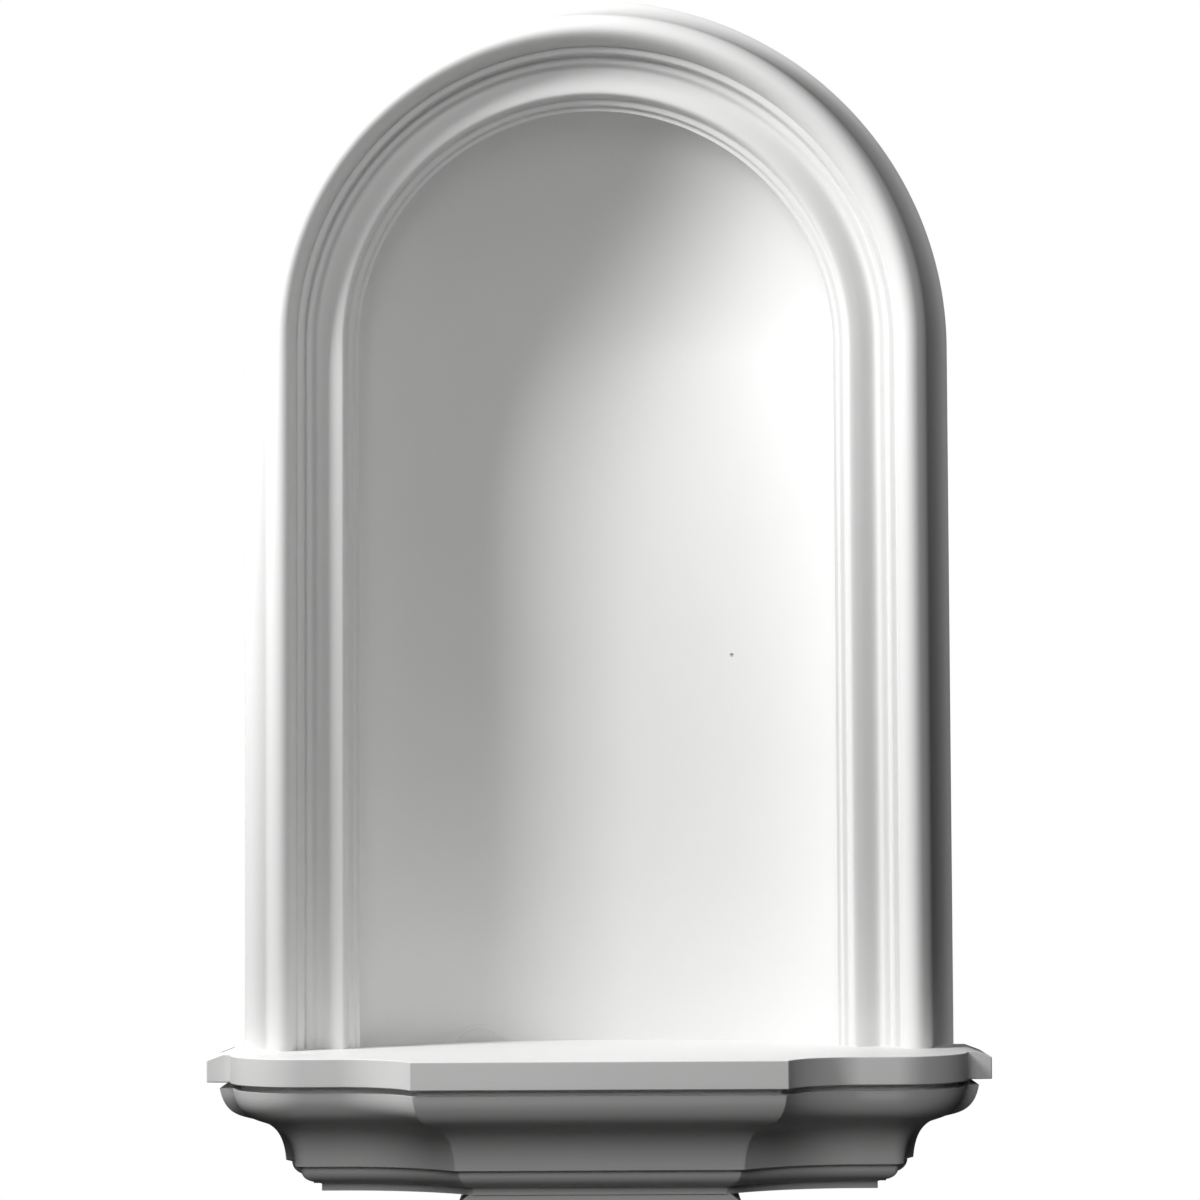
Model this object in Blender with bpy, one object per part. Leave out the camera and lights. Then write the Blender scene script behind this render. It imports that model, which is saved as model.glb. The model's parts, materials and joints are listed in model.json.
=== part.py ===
# Arched wall niche with a moulded casing, a smooth bowl and a console shelf, all one moulding.
# Metres, +Z up. The niche faces -Y, the wall's face is the plane y = 0, and the bowl goes back past it.
# The origin is on the flat back of the shelf, where the niche is fixed to the wall.
import math

import bmesh
import bpy

# Heights
SHELF_TOP_Z = 0.062
SHELF_HEIGHT = 0.1045
KEEL_DROP = 0.112  # underside of the middle part below the shelf's top
SPRING_HEIGHT = 0.5516  # springing line of the arch above the shelf's top
SPRING_Z = SHELF_TOP_Z + SPRING_HEIGHT

# Bowl and its shell; the bowl is half an oval in plan, with a dome of the same section
BOWL_RADIUS = 0.1875
RIM_PROUD = 0.018
BOWL_BACK = 0.075  # how far the bowl's back lies behind the wall's face
SHELL_THICKNESS = 0.010
SHELL_BACK_THICKNESS = 0.012
FLOOR_THICKNESS = 0.012
FLOOR_LEDGE = 0.0008

# Casing: radii from the arch's centre, and heights proud of the wall
STEP_WIDTH = 0.0032  # two small steps next to the bowl
STEP_TREAD = 0.0054
STEP_RISE = 0.0045
LIP_RADIUS = 0.2022
LIP_PROUD = 0.0312
LIP_HALF_WIDTH = 0.0036
COVE_RADIUS = 0.2225  # the cove's outer foot, against the bead
COVE_PROUD = 0.0300
COVE_HANDLES = ((0.0080, 0.0010), (0.0030, 0.0048))
BEAD_WIDTH = 0.0062
FILLET_WIDTH = 0.0055
FILLET_RISE = 0.0100
CREST_RADIUS = 0.2466
CREST_PROUD = 0.058
SHOULDER_WIDTH = 0.0130
SHOULDER_DROP = 0.0150
SHOULDER_END = 354.0  # degrees round the shoulder
FLARE_HANDLES = ((0.0040, 0.0180), (0.0105, 0.0050))
CASING_RADIUS = 0.2788
CASING_EDGE = 0.003
EASE = 0.0012  # small roundings and the fall of narrow flats
DRAFT = 0.0004  # lean of the small risers

# Shelf in plan: distances from the middle and from the wall
SHELF_WIDTH = 0.600
SHELF_DEPTH = 0.190
FRONT_HALF_WIDTH = 0.140
HOLLOW_RUN = 0.056  # hollow corner beside the front: its width and its depth
HOLLOW_DROP = 0.040
MITRE = 0.64  # how far the front's corner moves in for each unit of set-back
RETURN_FLAT_END = 0.2236
RETURN_RADIUS = 0.058
EAR_DEPTH = 0.090
EAR_SLOPE_RUN = 0.012
EAR_SLOPE_DROP = 0.0045
EAR_INSET = 0.0075  # the mouldings stop this much short of the fascia at each ear
EAR_FLAT_MIN = 0.002

# Shelf in section: heights below its top, and set-backs from the fascia
FASCIA_BOTTOM = 0.0213
QUIRK_TOP = 0.0220
QUIRK_BOTTOM = 0.0252
QUIRK_SETBACK = 0.0085
CYMA_TOP = 0.0258
CYMA_TOP_SETBACK = 0.0023
CYMA_BOTTOM = 0.0835
CYMA_BOTTOM_SETBACK = 0.0491
CYMA_UPPER_HANDLE = (0.0063, 0.0394)
CYMA_LOWER_HANDLE = (0.0042, 0.0482)
LEDGE_BOTTOM = 0.0846
BEAD_TOP = 0.0862
BEAD_TOP_SETBACK = 0.0535
BEAD_BOTTOM = 0.0976
BEAD_BOTTOM_SETBACK = 0.0665
BEAD_END = 98.0  # degrees round the bead
NECK_TOP = 0.0992
NECK_SETBACK = 0.0690

# Keel: a plain block under the middle of the shelf, a little wider at its foot
KEEL_TOP_HALF_WIDTH = 0.0945
KEEL_FOOT_HALF_WIDTH = 0.108
KEEL_SETBACK = 0.0702
KEEL_WALL_GAP = 0.001
KEEL_OVERLAP = 0.004

# Fineness of the faceting
ARCH_STEPS = 44
BOWL_STEPS = 13
SHELL_STEPS = 9
CURVE_STEPS = 6
PLAN_ARC_STEPS = 7
CYMA_STEPS = 11
MERGE = 0.00002
FOOT_OVERLAP = 0.006

URETHANE_COLOUR = (0.83, 0.83, 0.82, 1.0)
URETHANE_ROUGHNESS = 0.42
SHARP_ANGLE = math.radians(32.0)


def clear_scene():
    for thing in list(bpy.data.objects):
        bpy.data.objects.remove(thing, do_unlink=True)


def new_collection(name):
    group = bpy.data.collections.new(name)
    bpy.context.scene.collection.children.link(group)
    return group


def white_urethane():
    material = bpy.data.materials.new("white_urethane")
    material.use_nodes = True
    shader = material.node_tree.nodes["Principled BSDF"]
    shader.inputs["Base Color"].default_value = URETHANE_COLOUR
    shader.inputs["Roughness"].default_value = URETHANE_ROUGHNESS
    shader.inputs["Metallic"].default_value = 0.0
    return material


def arc(centre, radii, start, end, steps):
    """Points along an ellipse, with the angles in degrees."""
    points = []
    for index in range(steps + 1):
        angle = math.radians(start + (end - start) * index / steps)
        points.append((centre[0] + radii[0] * math.cos(angle), centre[1] + radii[1] * math.sin(angle)))
    return points


def curve(start, start_handle, end_handle, end, steps):
    """Points along a cubic curve."""
    points = []
    for index in range(steps + 1):
        t = index / steps
        s = 1.0 - t
        weights = (s * s * s, 3 * s * s * t, 3 * s * t * t, t * t * t)
        corners = (start, start_handle, end_handle, end)
        points.append(tuple(sum(w * corner[axis] for w, corner in zip(weights, corners)) for axis in (0, 1)))
    return points


def oval(radius, depth, start, end, steps):
    """Stretch of the bowl's oval section, as (radius, depth behind the wall); 90 degrees is its middle."""
    return arc((0.0, -RIM_PROUD), (radius, depth), start, end, steps)


def bowl_section():
    return oval(BOWL_RADIUS, BOWL_BACK + RIM_PROUD, 90.0, 0.0, BOWL_STEPS)


def shell_section():
    depth = BOWL_BACK + RIM_PROUD + SHELL_BACK_THICKNESS
    wall_angle = math.degrees(math.asin(RIM_PROUD / depth))
    return oval(BOWL_RADIUS + SHELL_THICKNESS, depth, wall_angle, 90.0, SHELL_STEPS)


def inner_mouldings():
    """Two small steps beside the bowl, the lip and the cove, as (radius, height proud of the wall)."""
    first = BOWL_RADIUS + STEP_WIDTH
    second = first + STEP_TREAD
    points = [
        (first, RIM_PROUD + EASE / 2),
        (first + DRAFT, RIM_PROUD + STEP_RISE),
        (second, RIM_PROUD + STEP_RISE + EASE / 2),
        (second + DRAFT, RIM_PROUD + 2 * STEP_RISE),
        (LIP_RADIUS - LIP_HALF_WIDTH, LIP_PROUD),
        (LIP_RADIUS, LIP_PROUD + DRAFT),
    ]
    start = (LIP_RADIUS + LIP_HALF_WIDTH, LIP_PROUD)
    end = (COVE_RADIUS - DRAFT, COVE_PROUD)
    points += curve(
        start,
        (start[0] + COVE_HANDLES[0][0], start[1] - COVE_HANDLES[0][1]),
        (end[0] - COVE_HANDLES[1][0], end[1] - COVE_HANDLES[1][1]),
        end,
        CURVE_STEPS)
    return points


def outer_mouldings():
    """Bead, fillet, rounded crest and the flared side, as (radius, height proud of the wall)."""
    bead_end = COVE_RADIUS + BEAD_WIDTH
    fillet_end = bead_end + FILLET_WIDTH
    bead_top = COVE_PROUD + EASE
    fillet_top = bead_top + FILLET_RISE
    points = [
        (COVE_RADIUS + EASE, bead_top),
        (bead_end, bead_top + DRAFT),
        (bead_end + DRAFT, fillet_top),
        (fillet_end, fillet_top + DRAFT),
    ]
    points += arc(
        (CREST_RADIUS, fillet_top + 2 * DRAFT),
        (CREST_RADIUS - fillet_end - DRAFT, CREST_PROUD - fillet_top - 2 * DRAFT),
        180.0, 90.0, CURVE_STEPS)
    shoulder = arc(
        (CREST_RADIUS, CREST_PROUD - SHOULDER_DROP), (SHOULDER_WIDTH, SHOULDER_DROP),
        90.0, 360.0 - SHOULDER_END, CURVE_STEPS)
    points += shoulder[1:]
    start = shoulder[-1]
    end = (CASING_RADIUS - EASE / 2, CASING_EDGE + EASE / 2)
    points += curve(
        start,
        (start[0] + FLARE_HANDLES[0][0], start[1] - FLARE_HANDLES[0][1]),
        (end[0] - FLARE_HANDLES[1][0], end[1] + FLARE_HANDLES[1][1]),
        end,
        CURVE_STEPS)[1:]
    points += [(CASING_RADIUS, CASING_EDGE), (CASING_RADIUS, 0.0)]
    return points


def arched_body():
    """Casing and bowl: the section turned over the arch, then run straight down both legs."""
    mesh = bmesh.new()
    casing = [(radius, -proud) for radius, proud in inner_mouldings() + outer_mouldings()]
    section = bowl_section() + casing + shell_section()
    verts = [mesh.verts.new((radius, depth, SPRING_Z)) for radius, depth in section]
    edges = [mesh.edges.new(pair) for pair in zip(verts, verts[1:])]
    turned = bmesh.ops.spin(
        mesh, geom=verts + edges, cent=(0.0, 0.0, SPRING_Z), axis=(0.0, -1.0, 0.0),
        angle=math.pi, steps=ARCH_STEPS, use_merge=False)
    far_edges = [item for item in turned["geom_last"] if isinstance(item, bmesh.types.BMEdge)]
    legs = bmesh.ops.extrude_edge_only(mesh, edges=edges + far_edges)
    feet = [item for item in legs["geom"] if isinstance(item, bmesh.types.BMVert)]
    bmesh.ops.translate(mesh, verts=feet, vec=(0.0, 0.0, -SPRING_HEIGHT - FOOT_OVERLAP))
    bmesh.ops.remove_doubles(mesh, verts=mesh.verts, dist=MERGE)
    open_edges = [edge for edge in mesh.edges if edge.is_boundary]
    bmesh.ops.contextual_create(mesh, geom=open_edges)
    bmesh.ops.recalc_face_normals(mesh, faces=mesh.faces)
    return mesh


def shelf_section():
    """Shelf's moulding from its top edge to its underside, as (set-back, height below the top)."""
    points = [
        (EASE, 0.0),
        (EASE / 3, EASE / 3),
        (0.0, EASE),
        (0.0, FASCIA_BOTTOM - EASE),
        (EASE, FASCIA_BOTTOM),
        (QUIRK_SETBACK, QUIRK_TOP),
        (QUIRK_SETBACK, QUIRK_BOTTOM),
    ]
    points += curve(
        (CYMA_TOP_SETBACK, CYMA_TOP),
        (CYMA_TOP_SETBACK + CYMA_UPPER_HANDLE[0], CYMA_TOP + CYMA_UPPER_HANDLE[1]),
        (CYMA_BOTTOM_SETBACK - CYMA_LOWER_HANDLE[0], CYMA_BOTTOM - CYMA_LOWER_HANDLE[1]),
        (CYMA_BOTTOM_SETBACK, CYMA_BOTTOM),
        CYMA_STEPS)
    points += [(CYMA_BOTTOM_SETBACK, LEDGE_BOTTOM), (BEAD_TOP_SETBACK, BEAD_TOP)]
    points += arc(
        (BEAD_BOTTOM_SETBACK, BEAD_TOP), (BEAD_BOTTOM_SETBACK - BEAD_TOP_SETBACK, BEAD_BOTTOM - BEAD_TOP),
        180.0, BEAD_END, CURVE_STEPS)[1:]
    points += [(NECK_SETBACK, NECK_TOP), (NECK_SETBACK, SHELF_HEIGHT)]
    return points


def half_plan(setback, ear_inset):
    """Right half of the shelf in plan, front to wall, as (distance from the middle, from the wall)."""
    run = HOLLOW_RUN + MITRE * setback
    reach = (run * run + HOLLOW_DROP * HOLLOW_DROP) / (2 * HOLLOW_DROP)
    turn = math.degrees(math.asin(run / reach))
    hollow_centre = (FRONT_HALF_WIDTH + HOLLOW_RUN, SHELF_DEPTH - HOLLOW_DROP - setback + reach)
    points = arc(hollow_centre, (reach, reach), 270.0 - turn, 270.0, PLAN_ARC_STEPS)
    round_radius = max(RETURN_RADIUS - setback, 0.0)
    crease_x = RETURN_FLAT_END + RETURN_RADIUS - setback
    return_y = SHELF_DEPTH - HOLLOW_DROP - setback
    points += arc(
        (crease_x - round_radius, return_y - round_radius), (round_radius, round_radius),
        90.0, 0.0, PLAN_ARC_STEPS)
    ear_y = EAR_DEPTH - setback
    ear_x = SHELF_WIDTH / 2 - setback - ear_inset
    slope_x = max(ear_x - EAR_SLOPE_RUN, crease_x + EAR_FLAT_MIN)
    points += [(crease_x, ear_y), (slope_x, ear_y), (ear_x, ear_y), (ear_x, 0.0), (slope_x, 0.0)]
    return points


def shelf_level(setback, drop):
    """One closed outline of the shelf; along the top edge the outer end of each ear slopes down."""
    half = half_plan(setback, EAR_INSET if drop > FASCIA_BOTTOM else 0.0)
    fall = EAR_SLOPE_DROP if drop < FASCIA_BOTTOM / 2 else 0.0
    right = []
    for index, (x, y) in enumerate(half):
        at_ear_end = index in (len(half) - 3, len(half) - 2)
        right.append((x, -y, SHELF_TOP_Z - drop - (fall if at_ear_end else 0.0)))
    left = [(-x, y, z) for x, y, z in right]
    return list(reversed(right)) + left


def cap_shelf_top(mesh, level):
    """Close the top with one flat face and a sloping one on each ear."""
    mesh.faces.new(level[0:4])
    mesh.faces.new(level[-4:])
    mesh.faces.new([level[0]] + level[3:-3] + [level[-1]])


def shelf_body():
    """Shelf as one loft down its section, closed by flat ends above, below and against the wall."""
    mesh = bmesh.new()
    levels = [[mesh.verts.new(point) for point in shelf_level(*step)] for step in shelf_section()]
    for upper, lower in zip(levels, levels[1:]):
        for index in range(len(upper)):
            following = (index + 1) % len(upper)
            mesh.faces.new((upper[index], lower[index], lower[following], upper[following]))
    cap_shelf_top(mesh, levels[0])
    mesh.faces.new(list(reversed(levels[-1])))
    bmesh.ops.remove_doubles(mesh, verts=mesh.verts, dist=MERGE)
    bmesh.ops.dissolve_degenerate(mesh, edges=mesh.edges, dist=MERGE)
    bmesh.ops.recalc_face_normals(mesh, faces=mesh.faces)
    return mesh


def bowl_floor():
    """Floor under the bowl, from inside the shelf to just past the shell's back."""
    mesh = bmesh.new()
    radius = BOWL_RADIUS + SHELL_THICKNESS + FLOOR_LEDGE
    depth = BOWL_BACK + RIM_PROUD + SHELL_BACK_THICKNESS + FLOOR_LEDGE
    outline = oval(radius, depth, 0.0, 180.0, 2 * BOWL_STEPS)
    face = mesh.faces.new([mesh.verts.new((x, y, SHELF_TOP_Z - FLOOR_THICKNESS)) for x, y in outline])
    raised = bmesh.ops.extrude_face_region(mesh, geom=[face])
    top = [item for item in raised["geom"] if isinstance(item, bmesh.types.BMVert)]
    bmesh.ops.translate(mesh, verts=top, vec=(0.0, 0.0, FLOOR_THICKNESS))
    bmesh.ops.recalc_face_normals(mesh, faces=mesh.faces)
    return mesh


def keel():
    """Block under the middle of the shelf, inside the lowest moulding where the two join."""
    mesh = bmesh.new()
    depth = SHELF_DEPTH - KEEL_SETBACK - KEEL_WALL_GAP
    height = KEEL_DROP - SHELF_HEIGHT + KEEL_OVERLAP
    bmesh.ops.create_cube(mesh, size=1.0)
    bmesh.ops.scale(mesh, verts=mesh.verts, vec=(2 * KEEL_TOP_HALF_WIDTH, depth, height))
    foot = [vert for vert in mesh.verts if vert.co.z < 0.0]
    bmesh.ops.scale(mesh, verts=foot, vec=(KEEL_FOOT_HALF_WIDTH / KEEL_TOP_HALF_WIDTH, 1.0, 1.0))
    middle = (0.0, -KEEL_WALL_GAP - depth / 2, SHELF_TOP_Z - KEEL_DROP + height / 2)
    bmesh.ops.translate(mesh, verts=mesh.verts, vec=middle)
    return mesh


def add_object(name, mesh, group, material):
    data = bpy.data.meshes.new(name)
    mesh.to_mesh(data)
    mesh.free()
    data.materials.append(material)
    thing = bpy.data.objects.new(name, data)
    group.objects.link(thing)
    return thing


def join_on(target, guide):
    """Boolean union that leaves the joined body as a hidden guide."""
    union = target.modifiers.new("union_" + guide.name, "BOOLEAN")
    union.operation = "UNION"
    union.solver = "EXACT"
    union.object = guide
    guide.hide_render = True
    guide.display_type = "WIRE"


def build():
    clear_scene()
    niche_group = new_collection("wall_niche_parts")
    guide_group = new_collection("guides")
    urethane = white_urethane()
    niche = add_object("wall_niche", arched_body(), niche_group, urethane)
    join_on(niche, add_object("shelf_guide", shelf_body(), guide_group, urethane))
    join_on(niche, add_object("floor_guide", bowl_floor(), guide_group, urethane))
    join_on(niche, add_object("keel_guide", keel(), guide_group, urethane))
    niche.data.shade_smooth()
    niche.data.set_sharp_from_angle(angle=SHARP_ANGLE)


build()
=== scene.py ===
import json
import math

import bmesh
import bpy
from mathutils import Matrix, Vector


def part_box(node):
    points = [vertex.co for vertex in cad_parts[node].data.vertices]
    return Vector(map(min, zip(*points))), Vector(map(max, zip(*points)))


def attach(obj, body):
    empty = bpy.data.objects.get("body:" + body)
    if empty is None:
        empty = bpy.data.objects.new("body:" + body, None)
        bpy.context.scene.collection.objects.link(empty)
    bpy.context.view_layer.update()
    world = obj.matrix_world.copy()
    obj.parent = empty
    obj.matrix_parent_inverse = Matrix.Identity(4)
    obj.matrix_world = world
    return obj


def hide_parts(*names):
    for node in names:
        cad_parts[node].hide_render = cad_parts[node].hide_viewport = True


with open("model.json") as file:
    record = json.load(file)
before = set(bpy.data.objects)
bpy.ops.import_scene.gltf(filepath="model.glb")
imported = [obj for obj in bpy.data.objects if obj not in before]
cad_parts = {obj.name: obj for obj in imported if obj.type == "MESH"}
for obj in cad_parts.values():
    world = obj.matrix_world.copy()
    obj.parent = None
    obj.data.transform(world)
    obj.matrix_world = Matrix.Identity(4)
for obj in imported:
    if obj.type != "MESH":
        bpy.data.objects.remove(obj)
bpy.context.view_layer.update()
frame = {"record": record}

nicheLow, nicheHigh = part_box("wall_niche")
mountsByName = {mount["name"]: mount for mount in frame["record"]["mounts"]}
shelfTop = mountsByName["shelf_top"]["pos_m"][2]
scene = bpy.context.scene

tiny = 0.00001                # points nearer than this are one point
cornerReach = 0.42            # a round takes at most this share of the side beside it
sharpAngle = 38.0             # degrees; faces that meet at more than this keep a crisp line


def arcPoints(centre, radii, start, end, steps):
    points = []
    for index in range(steps + 1):
        angle = math.radians(start + (end - start) * index / steps)
        points.append((centre[0] + radii[0] * math.cos(angle), centre[1] + radii[1] * math.sin(angle)))
    return points


def curvePoints(corners, steps):
    points = []
    for index in range(steps + 1):
        t = index / steps
        s = 1.0 - t
        weights = (s * s * s, 3 * s * s * t, 3 * s * t * t, t * t * t)
        points.append(tuple(sum(w * corner[axis] for w, corner in zip(weights, corners)) for axis in (0, 1)))
    return points


def softened(points, corners, size, steps=3):
    # Each listed corner becomes a small round; the others stay as they are
    softer = []
    for index, point in enumerate(points):
        if index not in corners or index in (0, len(points) - 1):
            softer.append(point)
            continue
        here = Vector(point)
        before = Vector(points[index - 1]) - here
        after = Vector(points[index + 1]) - here
        start = here + before.normalized() * min(size, before.length * cornerReach)
        end = here + after.normalized() * min(size, after.length * cornerReach)
        for step in range(steps + 1):
            t = step / steps
            mixed = start * (1 - t) ** 2 + here * 2 * t * (1 - t) + end * t ** 2
            softer.append((mixed.x, mixed.y))
    return softer


def newObject(name, mesh):
    data = bpy.data.meshes.new(name)
    mesh.to_mesh(data)
    mesh.free()
    made = bpy.data.objects.new(name, data)
    scene.collection.objects.link(made)
    return made


# Casing and bowl, as radii from the arch's centre and heights proud of the wall
bowlShape = {
    "radius": 0.1875,
    "rimProud": 0.018,
    "back": 0.075,
    "shell": 0.010,
    "shellBack": 0.012,
    "floor": 0.012,
    "floorLedge": 0.0008,
    "apart": 0.00004,         # keeps the faces of joined bodies from coinciding
    "steps": 44,
}
casingShape = {
    "radius": 0.2788,
    "edge": 0.003,
    "stepWidth": 0.0032,
    "stepTread": 0.0054,
    "stepRise": 0.0045,
    "lipRadius": 0.2022,
    "lipProud": 0.0312,
    "lipHalfWidth": 0.0036,
    "coveRadius": 0.2225,
    "coveProud": 0.0300,
    "coveHandles": ((0.0080, 0.0010), (0.0030, 0.0048)),
    "beadWidth": 0.0062,
    "filletWidth": 0.0055,
    "filletRise": 0.0100,
    "crestRadius": 0.2466,
    "crestProud": 0.058,
    "shoulderWidth": 0.0130,
    "shoulderDrop": 0.0150,
    "shoulderEnd": 354.0,
    "flareHandles": ((0.0040, 0.0180), (0.0105, 0.0050)),
    "ease": 0.0012,
    "draft": 0.0004,
    "softEdge": 0.0018,       # how round the small arrises are
    "archSteps": 150,
    "curveSteps": 14,
    "footOverlap": 0.006,     # how far the legs go down into the shelf
}


def ovalPoints(radius, depth, start, end, steps):
    return arcPoints((0.0, -bowlShape["rimProud"]), (radius, depth), start, end, steps)


def innerMouldings(s):
    first = bowlShape["radius"] + s["stepWidth"]
    second = first + s["stepTread"]
    base = bowlShape["rimProud"]
    flats = [
        (bowlShape["radius"], base),
        (first, base + s["ease"] / 2),
        (first + s["draft"], base + s["stepRise"]),
        (second, base + s["stepRise"] + s["ease"] / 2),
        (second + s["draft"], base + 2 * s["stepRise"]),
        (s["lipRadius"] - s["lipHalfWidth"], s["lipProud"]),
        (s["lipRadius"], s["lipProud"] + s["draft"]),
    ]
    start = (s["lipRadius"] + s["lipHalfWidth"], s["lipProud"])
    end = (s["coveRadius"] - s["draft"], s["coveProud"])
    cove = curvePoints((
        start,
        (start[0] + s["coveHandles"][0][0], start[1] - s["coveHandles"][0][1]),
        (end[0] - s["coveHandles"][1][0], end[1] - s["coveHandles"][1][1]),
        end), s["curveSteps"])
    return softened(flats + cove[:1], range(1, 7), s["softEdge"]) + cove[1:]


def outerMouldings(s):
    beadEnd = s["coveRadius"] + s["beadWidth"]
    filletEnd = beadEnd + s["filletWidth"]
    beadTop = s["coveProud"] + s["ease"]
    filletTop = beadTop + s["filletRise"]
    flats = [
        (s["coveRadius"] - s["draft"], s["coveProud"]),
        (s["coveRadius"] + s["ease"], beadTop),
        (beadEnd, beadTop + s["draft"]),
        (beadEnd + s["draft"], filletTop),
        (filletEnd, filletTop + s["draft"]),
    ]
    crest = arcPoints(
        (s["crestRadius"], filletTop + 2 * s["draft"]),
        (s["crestRadius"] - filletEnd - s["draft"], s["crestProud"] - filletTop - 2 * s["draft"]),
        180.0, 90.0, s["curveSteps"])
    shoulder = arcPoints(
        (s["crestRadius"], s["crestProud"] - s["shoulderDrop"]), (s["shoulderWidth"], s["shoulderDrop"]),
        90.0, 360.0 - s["shoulderEnd"], s["curveSteps"])
    start = shoulder[-1]
    end = (s["radius"] - s["ease"] / 2, s["edge"] + s["ease"] / 2)
    flare = curvePoints((
        start,
        (start[0] + s["flareHandles"][0][0], start[1] - s["flareHandles"][0][1]),
        (end[0] - s["flareHandles"][1][0], end[1] + s["flareHandles"][1][1]),
        end), s["curveSteps"])
    rounded = softened(flats + crest[:1], range(1, 5), s["softEdge"])
    edge = softened([flare[-1], (s["radius"], s["edge"]), (s["radius"], 0.0)], (1,), s["softEdge"])
    return rounded[1:] + crest[1:] + shoulder[1:] + flare[1:-1] + edge


def makeArchedBody(springZ):
    s, b = casingShape, bowlShape
    depth = b["back"] + b["rimProud"]
    bowl = ovalPoints(b["radius"], depth, 90.0, 0.0, b["steps"])
    casing = [(radius, -proud) for radius, proud in innerMouldings(s) + outerMouldings(s)]
    shellDepth = depth + b["shellBack"]
    wallAngle = math.degrees(math.asin(b["rimProud"] / shellDepth))
    shell = ovalPoints(b["radius"] + b["shell"], shellDepth, wallAngle, 90.0, b["steps"] // 2)
    section = bowl + casing[1:] + shell
    mesh = bmesh.new()
    verts = [mesh.verts.new((x, y, springZ)) for x, y in section]
    edges = [mesh.edges.new(pair) for pair in zip(verts, verts[1:])]
    turned = bmesh.ops.spin(
        mesh, geom=verts + edges, cent=(0.0, 0.0, springZ), axis=(0.0, -1.0, 0.0),
        angle=math.pi, steps=s["archSteps"], use_merge=False)
    ends = edges + [item for item in turned["geom_last"] if isinstance(item, bmesh.types.BMEdge)]
    run = bmesh.ops.extrude_edge_only(mesh, edges=ends)
    feet = [item for item in run["geom"] if isinstance(item, bmesh.types.BMVert)]
    bmesh.ops.translate(mesh, verts=feet, vec=(0.0, 0.0, shelfTop - springZ - s["footOverlap"]))
    bmesh.ops.remove_doubles(mesh, verts=mesh.verts, dist=tiny)
    bmesh.ops.contextual_create(mesh, geom=[edge for edge in mesh.edges if edge.is_boundary])
    bmesh.ops.translate(mesh, verts=mesh.verts, vec=(0.0, -b["apart"], 0.0))
    bmesh.ops.recalc_face_normals(mesh, faces=mesh.faces)
    return newObject("arched_body", mesh)


# Shelf: its plan, then its moulding as set-backs from the plan and drops from the top
shelfShape = {
    "width": nicheHigh.x - nicheLow.x,
    "depth": 0.190,
    "frontHalfWidth": 0.140,
    "hollowRun": 0.056,
    "hollowDrop": 0.040,
    "mitre": 0.64,
    "returnFlatEnd": 0.2236,
    "returnRadius": 0.058,
    "earDepth": 0.090,
    "earSlopeRun": 0.012,
    "earSlopeDrop": 0.0045,
    "earInset": 0.0075,
    "earFlatMin": 0.002,
    "cornerRound": 0.0010,
    "arcSteps": 22,
}
shelfMoulding = {
    "height": 0.1045,
    "fasciaBottom": 0.0213,
    "quirk": (0.0220, 0.0252, 0.0085),      # top, bottom and set-back
    "cymaTop": (0.0023, 0.0258),
    "cymaBottom": (0.0491, 0.0835),
    "cymaHandles": ((0.0063, 0.0394), (0.0042, 0.0482)),
    "ledgeBottom": 0.0846,
    "beadTop": (0.0535, 0.0862),
    "beadBottom": (0.0665, 0.0976),
    "beadEnd": 98.0,
    "neck": (0.0690, 0.0992),
    "ease": 0.0009,
    "curveSteps": 30,
}


def shelfSection(m):
    quirkTop, quirkBottom, quirkBack = m["quirk"]
    flats = [
        (m["ease"] * 2.0, 0.0),
        (0.0, 0.0),
        (0.0, m["fasciaBottom"]),
        (quirkBack, quirkTop),
        (quirkBack, quirkBottom),
        m["cymaTop"],
    ]
    cyma = curvePoints((
        m["cymaTop"],
        (m["cymaTop"][0] + m["cymaHandles"][0][0], m["cymaTop"][1] + m["cymaHandles"][0][1]),
        (m["cymaBottom"][0] - m["cymaHandles"][1][0], m["cymaBottom"][1] - m["cymaHandles"][1][1]),
        m["cymaBottom"]), m["curveSteps"])
    bead = arcPoints(
        (m["beadBottom"][0], m["beadTop"][1]),
        (m["beadBottom"][0] - m["beadTop"][0], m["beadBottom"][1] - m["beadTop"][1]),
        180.0, m["beadEnd"], m["curveSteps"] // 2)
    lower = [m["cymaBottom"], (m["cymaBottom"][0], m["ledgeBottom"]), m["beadTop"]]
    neck = [bead[-1], m["neck"], (m["neck"][0], m["height"])]
    points = softened(flats, (1, 2), m["ease"]) + cyma[1:]
    points += softened(lower, (1,), m["ease"] / 2)[1:] + bead[1:]
    return points + softened(neck, (1,), m["ease"] / 2)[1:]


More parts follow.
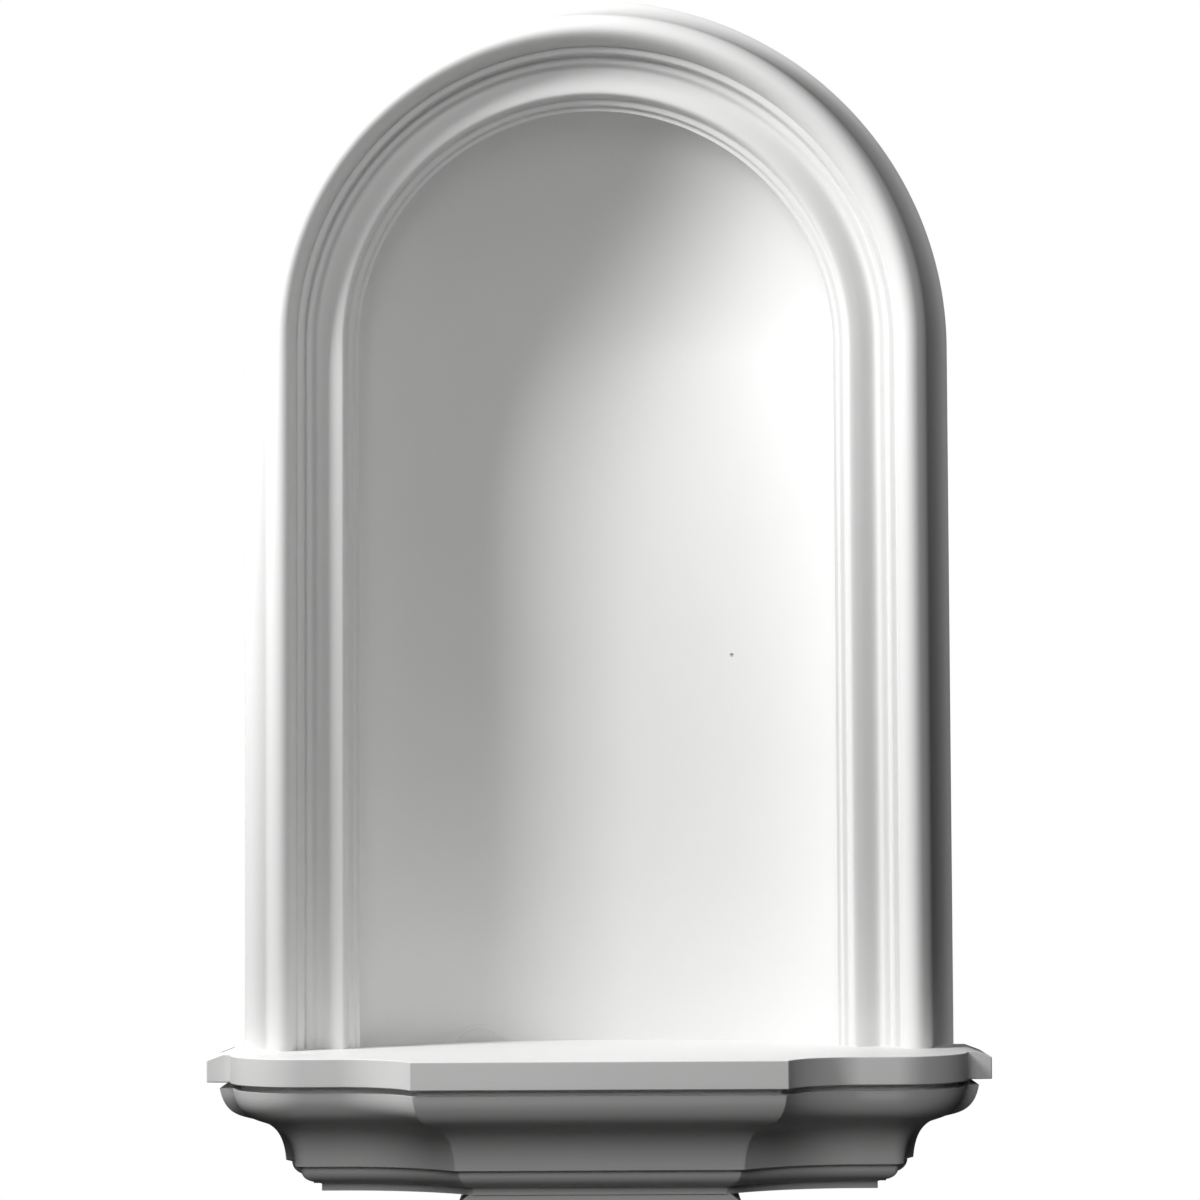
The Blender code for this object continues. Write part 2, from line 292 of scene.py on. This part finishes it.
def halfPlan(s, setback, earInset):
    # Right half of the outline from the front's middle to the wall, as distances from the middle and the wall
    run = s["hollowRun"] + s["mitre"] * setback
    reach = (run * run + s["hollowDrop"] * s["hollowDrop"]) / (2 * s["hollowDrop"])
    turn = math.degrees(math.asin(run / reach))
    hollowCentre = (s["frontHalfWidth"] + s["hollowRun"], s["depth"] - s["hollowDrop"] - setback + reach)
    hollow = arcPoints(hollowCentre, (reach, reach), 270.0 - turn, 270.0, s["arcSteps"])
    roundRadius = max(s["returnRadius"] - setback, s["cornerRound"])
    creaseX = s["returnFlatEnd"] + s["returnRadius"] - setback
    returnY = s["depth"] - s["hollowDrop"] - setback
    turned = arcPoints((creaseX - roundRadius, returnY - roundRadius), (roundRadius, roundRadius),
                       90.0, 0.0, s["arcSteps"])
    earX = s["width"] / 2 - setback - earInset
    earY = s["earDepth"] - setback
    slopeX = max(earX - s["earSlopeRun"], creaseX + s["earFlatMin"])
    ear = [(creaseX, earY), (slopeX, earY), (earX, earY), (earX, 0.0), (slopeX, 0.0)]
    front = [(0.0, s["depth"] - setback), (s["frontHalfWidth"] * 0.5, s["depth"] - setback)]
    points = front + hollow + turned + ear
    corners = (2, len(points) - 3)
    return softened(points, corners, s["cornerRound"])


def shelfOutline(s, setback, drop, fall):
    earInset = s["earInset"] if drop > shelfMoulding["fasciaBottom"] else 0.0
    half = halfPlan(s, setback, earInset)
    slopeX = s["width"] / 2 - setback - s["earSlopeRun"]
    right = []
    for x, y in half:
        sunk = fall * max(0.0, (x - slopeX) / s["earSlopeRun"])
        right.append(Vector((x, -y, shelfTop - drop - sunk)))
    left = [Vector((-p.x, p.y, p.z)) for p in right[1:]]
    return right[::-1] + left


def makeShelf():
    s = shelfShape
    steps = shelfSection(shelfMoulding)
    mesh = bmesh.new()
    slopeEnd = shelfMoulding["fasciaBottom"] / 2     # the ears' ends slope above this drop alone
    falls = [s["earSlopeDrop"] if drop < slopeEnd else 0.0 for setback, drop in steps]
    first = shelfOutline(s, steps[0][0], steps[0][1], falls[0])
    verts = [mesh.verts.new(point) for point in first]
    ring = [mesh.edges.new((verts[index - 1], verts[index])) for index in range(len(verts))]
    top = mesh.faces.new(verts)
    for (setback, drop), fall in zip(steps[1:], falls[1:]):
        run = bmesh.ops.extrude_edge_only(mesh, edges=ring)
        moved = [item for item in run["geom"] if isinstance(item, bmesh.types.BMVert)]
        ring = [item for item in run["geom"] if isinstance(item, bmesh.types.BMEdge)
                and item.verts[0] in moved and item.verts[1] in moved]
        for vert, point in zip(moved, shelfOutline(s, setback, drop, fall)):
            vert.co = point
    bmesh.ops.contextual_create(mesh, geom=ring)
    bmesh.ops.triangulate(mesh, faces=[top])
    bmesh.ops.dissolve_degenerate(mesh, dist=tiny, edges=mesh.edges)   # a strip at the back has no area
    bmesh.ops.recalc_face_normals(mesh, faces=mesh.faces)
    return newObject("console_shelf", mesh)


def makeBowlFloor():
    b = bowlShape
    depth = b["back"] + b["rimProud"] + b["shellBack"] + b["floorLedge"]
    outline = ovalPoints(b["radius"] + b["shell"] + b["floorLedge"], depth, 0.0, 180.0, 2 * b["steps"])
    mesh = bmesh.new()
    face = mesh.faces.new([mesh.verts.new((x, y, shelfTop - b["floor"])) for x, y in outline])
    raised = bmesh.ops.extrude_face_region(mesh, geom=[face])
    top = [item for item in raised["geom"] if isinstance(item, bmesh.types.BMVert)]
    bmesh.ops.translate(mesh, verts=top, vec=(0.0, 0.0, b["floor"] - b["apart"]))
    bmesh.ops.recalc_face_normals(mesh, faces=mesh.faces)
    return newObject("bowl_floor", mesh)


keelShape = {
    "halfWidths": (0.0945, 0.108),   # top and foot
    "setback": 0.0702,
    "wallGap": 0.001,
    "overlap": 0.004,
    "edge": 0.0012,
    "edgeSteps": 3,
}


def makeKeel():
    k = keelShape
    depth = shelfShape["depth"] - k["setback"] - k["wallGap"]
    top = shelfTop - shelfMoulding["height"] + k["overlap"]
    height = top - nicheLow.z
    mesh = bmesh.new()
    bmesh.ops.create_cube(mesh, size=1.0)
    bmesh.ops.scale(mesh, verts=mesh.verts, vec=(2 * k["halfWidths"][0], depth, height))
    foot = [vert for vert in mesh.verts if vert.co.z < 0.0]
    bmesh.ops.scale(mesh, verts=foot, vec=(k["halfWidths"][1] / k["halfWidths"][0], 1.0, 1.0))
    bmesh.ops.translate(mesh, verts=mesh.verts, vec=(0.0, -k["wallGap"] - depth / 2, top - height / 2))
    bmesh.ops.bevel(
        mesh, geom=mesh.edges[:], offset=k["edge"], segments=k["edgeSteps"],
        profile=0.5, affect="EDGES", material=-1)
    return newObject("keel", mesh)


wallMarks = {                 # small casting marks on the bowl's wall
    "pinhole": {
        "angle": 54.7,
        "height": 0.3098,
        "radius": 0.0018,
        "sunk": 0.0007,
        "subdivisions": 3,
    },
    "plugRing": {
        "angle": 121.0,
        "height": -0.0168,
        "radius": 0.0280,
        "wire": 0.0034,
        "sunk": 0.0022,
        "sides": 16,
        "steps": 120,
    },
}


def onBowlWall(mark, across, up, inward):
    # A point near the bowl's wall: across and up along the wall, inward towards the room
    depth = bowlShape["back"] + bowlShape["rimProud"]
    angle = math.radians(mark["angle"])
    speed = math.hypot(bowlShape["radius"] * math.sin(angle), depth * math.cos(angle))
    angle -= across / speed
    normal = Vector((-math.cos(angle) / bowlShape["radius"], -math.sin(angle) / depth, 0.0)).normalized()
    point = Vector((bowlShape["radius"] * math.cos(angle), depth * math.sin(angle) - bowlShape["rimProud"],
                    shelfTop + mark["height"] + up))
    return point + normal * inward


def makePinhole():
    mark = wallMarks["pinhole"]
    mesh = bmesh.new()
    bmesh.ops.create_icosphere(mesh, subdivisions=mark["subdivisions"], radius=mark["radius"])
    bmesh.ops.translate(mesh, verts=mesh.verts, vec=onBowlWall(mark, 0.0, 0.0, -mark["sunk"]))
    return newObject("pinhole", mesh)


def makePlugRing():
    mark = wallMarks["plugRing"]
    mesh = bmesh.new()
    wire = bmesh.ops.create_circle(mesh, radius=mark["wire"], segments=mark["sides"])["verts"]
    bmesh.ops.translate(mesh, verts=wire, vec=(mark["radius"], 0.0, 0.0))
    bmesh.ops.spin(
        mesh, geom=mesh.verts[:] + mesh.edges[:], cent=(0.0, 0.0, 0.0), axis=(0.0, 1.0, 0.0),
        angle=2 * math.pi, steps=mark["steps"], use_merge=True)
    hidden = -mark["height"] - bowlShape["floor"] / 2     # what is below the floor's middle is cut away
    bmesh.ops.bisect_plane(
        mesh, geom=mesh.verts[:] + mesh.edges[:] + mesh.faces[:],
        plane_co=(0.0, 0.0, hidden), plane_no=(0.0, 0.0, 1.0), clear_inner=True)
    bmesh.ops.holes_fill(mesh, edges=[edge for edge in mesh.edges if edge.is_boundary])
    for vert in mesh.verts:
        vert.co = onBowlWall(mark, vert.co.x, vert.co.z, vert.co.y - mark["sunk"])
    bmesh.ops.recalc_face_normals(mesh, faces=mesh.faces)
    if mesh.calc_volume(signed=True) < 0.0:
        bmesh.ops.reverse_faces(mesh, faces=mesh.faces)
    return newObject("plug_ring", mesh)


def joined(target, others, operation="UNION"):
    for other in others:
        join = target.modifiers.new("join", "BOOLEAN")
        join.operation = operation
        join.solver = "EXACT"
        join.object = other
    data = bpy.data.meshes.new_from_object(target.evaluated_get(bpy.context.evaluated_depsgraph_get()))
    target.modifiers.clear()
    target.data = data
    for other in others:
        bpy.data.objects.remove(other, do_unlink=True)


def makeNiche():
    springZ = nicheHigh.z - casingShape["radius"]
    niche = makeArchedBody(springZ)
    print("casing and bowl turned:", len(niche.data.polygons), "faces")
    shelf = makeShelf()
    print("shelf run:", len(shelf.data.polygons), "faces")
    joined(niche, [shelf, makeBowlFloor(), makeKeel(), makePlugRing()])
    joined(niche, [makePinhole()], "DIFFERENCE")
    niche.name = "niche_moulding"
    niche.data.name = "niche_moulding"
    niche.data.shade_smooth()
    niche.data.set_sharp_from_angle(angle=math.radians(sharpAngle))
    weighted = niche.modifiers.new("weighted", "WEIGHTED_NORMAL")
    weighted.keep_sharp = True
    print("niche joined:", len(niche.data.polygons), "faces")
    return niche


# Finish
urethane = {
    "colour": (0.79, 0.79, 0.785, 1.0),
    "shade": (0.755, 0.755, 0.75, 1.0),
    "roughness": 0.46,
    "specular": 0.35,
    "cloudScale": 9.0,        # slow change between colour and shade
    "cloudDetail": 5.0,
    "grainScale": 420.0,      # fine grain of the moulded skin
    "grainDetail": 3.0,
    "grainStrength": 0.10,
    "grainDepth": 0.0006,
}


def nodeMaterial(name):
    material = bpy.data.materials.new(name)
    material.use_nodes = True
    return material, material.node_tree.nodes["Principled BSDF"]


def makeUrethane():
    material, shader = nodeMaterial("white_urethane")
    nodes, links = material.node_tree.nodes, material.node_tree.links
    place = nodes.new("ShaderNodeTexCoord")
    cloud = nodes.new("ShaderNodeTexNoise")
    cloud.inputs["Scale"].default_value = urethane["cloudScale"]
    cloud.inputs["Detail"].default_value = urethane["cloudDetail"]
    mixed = nodes.new("ShaderNodeMix")
    mixed.data_type = "RGBA"
    mixed.inputs["A"].default_value = urethane["colour"]
    mixed.inputs["B"].default_value = urethane["shade"]
    grain = nodes.new("ShaderNodeTexNoise")
    grain.inputs["Scale"].default_value = urethane["grainScale"]
    grain.inputs["Detail"].default_value = urethane["grainDetail"]
    bump = nodes.new("ShaderNodeBump")
    bump.inputs["Strength"].default_value = urethane["grainStrength"]
    bump.inputs["Distance"].default_value = urethane["grainDepth"]
    links.new(place.outputs["Object"], cloud.inputs["Vector"])
    links.new(place.outputs["Object"], grain.inputs["Vector"])
    links.new(cloud.outputs["Fac"], mixed.inputs["Factor"])
    links.new(mixed.outputs["Result"], shader.inputs["Base Color"])
    links.new(grain.outputs["Fac"], bump.inputs["Height"])
    links.new(bump.outputs["Normal"], shader.inputs["Normal"])
    shader.inputs["Roughness"].default_value = urethane["roughness"]
    shader.inputs["Specular IOR Level"].default_value = urethane["specular"]
    return material


floorShape = {
    "radius": 0.9,
    "sides": 96,
    "below": 2.4,             # far enough down to throw little light up at the shelf
    "forward": 0.2,
    "colour": (0.62, 0.62, 0.61, 1.0),
    "roughness": 0.8,
}


def makeFloor():
    f = floorShape
    mesh = bmesh.new()
    bmesh.ops.create_circle(mesh, cap_ends=True, radius=f["radius"], segments=f["sides"])
    bmesh.ops.translate(mesh, verts=mesh.verts, vec=(0.0, -f["forward"], nicheLow.z - f["below"]))
    floor = newObject("studio_floor", mesh)
    material, shader = nodeMaterial("pale_floor")
    shader.inputs["Base Color"].default_value = f["colour"]
    shader.inputs["Roughness"].default_value = f["roughness"]
    floor.data.materials.append(material)


# Light: azimuth, elevation, distance, size, power, and the height above the shelf that it is aimed at
studioLights = {
    "key": (-60.0, 31.0, 1.5, (0.28, 0.68), 35.0, 0.64),
    "side": (-86.0, 30.0, 1.8, (0.8, 0.8), 5.5, 0.60),
    "front": (-6.0, 16.0, 2.4, (1.2, 1.4), 20.0, 0.54),
    "right": (74.0, 30.0, 1.2, (0.4, 0.4), 1.2, 0.65),
    "back": (196.0, 4.0, 2.6, (1.4, 1.4), 24.0, 0.54),
}
whiteRoom = {
    "seen": 1.0,              # how white the background looks
    "lighting": 0.004,        # how much light it gives
}


def addAreaLight(name, azimuth, elevation, distance, size, power, aim):
    data = bpy.data.lights.new(name, "AREA")
    data.shape = "RECTANGLE"
    data.size, data.size_y = size
    data.energy = power
    light = bpy.data.objects.new(name, data)
    a, e = math.radians(azimuth), math.radians(elevation)
    way = Vector((math.sin(a) * math.cos(e), -math.cos(a) * math.cos(e), math.sin(e)))
    light.location = Vector((0.0, 0.0, shelfTop + aim)) + way * distance
    light.rotation_mode = "QUATERNION"
    light.rotation_quaternion = (-way).to_track_quat("-Z", "Y")
    light.visible_camera = False
    scene.collection.objects.link(light)


def makeLights():
    for name, setup in studioLights.items():
        addAreaLight(name, *setup)
    world = bpy.data.worlds.new("white_room")
    world.use_nodes = True
    scene.world = world
    nodes, links = world.node_tree.nodes, world.node_tree.links
    seen = nodes.new("ShaderNodeBackground")
    seen.inputs["Color"].default_value = (1.0, 1.0, 1.0, 1.0)
    seen.inputs["Strength"].default_value = whiteRoom["seen"]
    lighting = nodes["Background"]
    lighting.inputs["Color"].default_value = (1.0, 1.0, 1.0, 1.0)
    lighting.inputs["Strength"].default_value = whiteRoom["lighting"]
    path = nodes.new("ShaderNodeLightPath")
    chosen = nodes.new("ShaderNodeMixShader")
    links.new(path.outputs["Is Camera Ray"], chosen.inputs["Fac"])
    links.new(lighting.outputs["Background"], chosen.inputs[1])
    links.new(seen.outputs["Background"], chosen.inputs[2])
    links.new(chosen.outputs["Shader"], nodes["World Output"].inputs["Surface"])


# Camera: the niche fills the frame, seen from just above its shelf
cameraSetup = {
    "distance": 3.0,          # from the wall's face
    "aboveShelf": 0.18475,
    "sideways": 0.0022,
    "pitch": 3.18,            # degrees, looking up
    "roll": -0.27,
    "focalPixels": 3790.0,
    "framePixels": 1200.0,
    "sensorWidth": 36.0,
}


def makeCamera():
    c = cameraSetup
    data = bpy.data.cameras.new("camera")
    data.sensor_width = c["sensorWidth"]
    data.lens = data.sensor_width * c["focalPixels"] / c["framePixels"]
    camera = bpy.data.objects.new("camera", data)
    camera.location = (c["sideways"], -c["distance"], shelfTop + c["aboveShelf"])
    camera.rotation_mode = "XYZ"
    pitch = Matrix.Rotation(math.radians(90.0 + c["pitch"]), 3, "X")
    roll = Matrix.Rotation(math.radians(c["roll"]), 3, "Z")
    camera.rotation_euler = (pitch @ roll).to_euler("XYZ")
    scene.collection.objects.link(camera)
    scene.camera = camera


makeCamera()
makeLights()
makeFloor()
print("camera, lights and floor placed")
niche = makeNiche()
niche.data.materials.clear()
niche.data.materials.append(makeUrethane())
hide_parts("wall_niche")
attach(niche, "root")
scene.view_settings.view_transform = "Standard"
